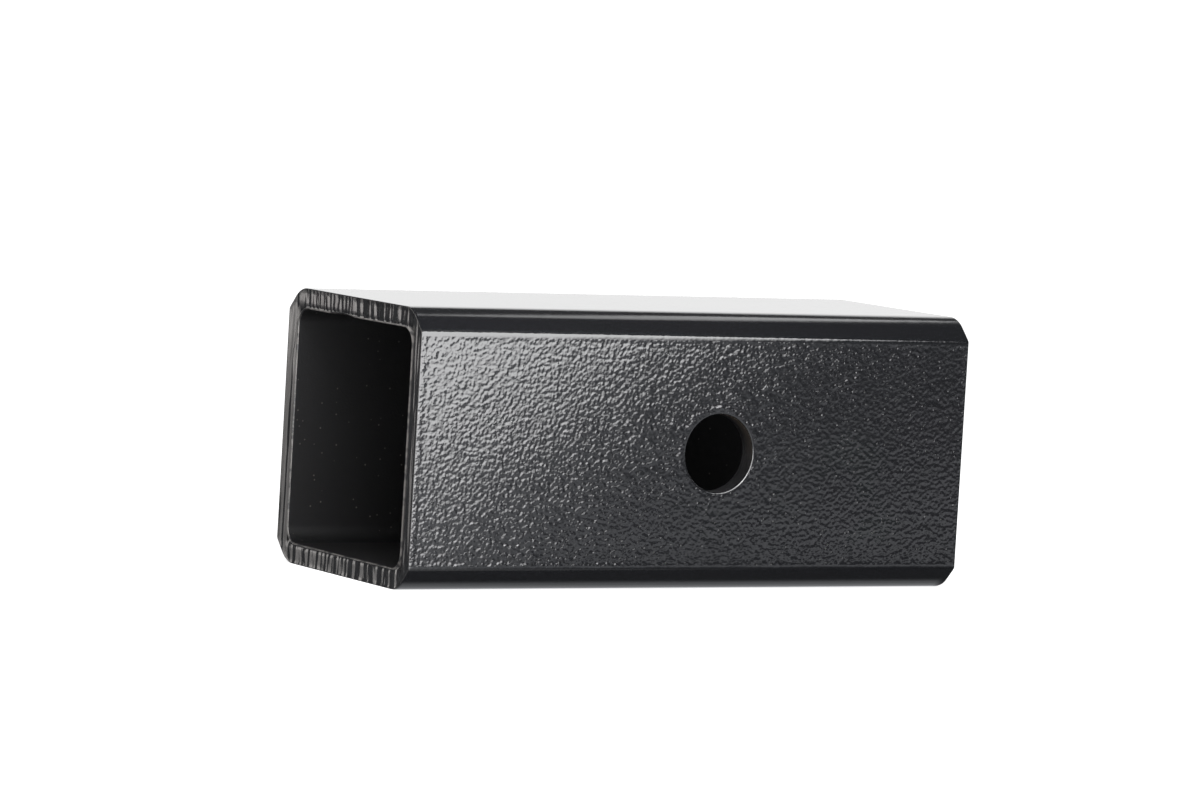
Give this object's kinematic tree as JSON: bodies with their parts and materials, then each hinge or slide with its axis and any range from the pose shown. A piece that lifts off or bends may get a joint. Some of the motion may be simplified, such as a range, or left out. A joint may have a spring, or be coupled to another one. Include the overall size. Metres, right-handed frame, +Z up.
{
  "type": "hitch reducer sleeve",
  "caption": "Short square steel tube with flattened corners and one cross pin hole, which lets a smaller hitch shank fit a larger square receiver.",
  "frame": {"origin": "centre of the bottom face, halfway along the tube", "axes": "+X along the tube and the shank's way, from the end nearer the camera to the far end; Y along the pin hole, with -Y the side that faces the camera; +Z up"},
  "size_m": [0.146, 0.0636, 0.0635],
  "materials": {
    "black_powder_coat": "gloss black powder coat over mill-rough steel tube"
  },
  "bodies": {
    "root": {"reducer_sleeve": "black_powder_coat"}
  },
  "joints": []
}
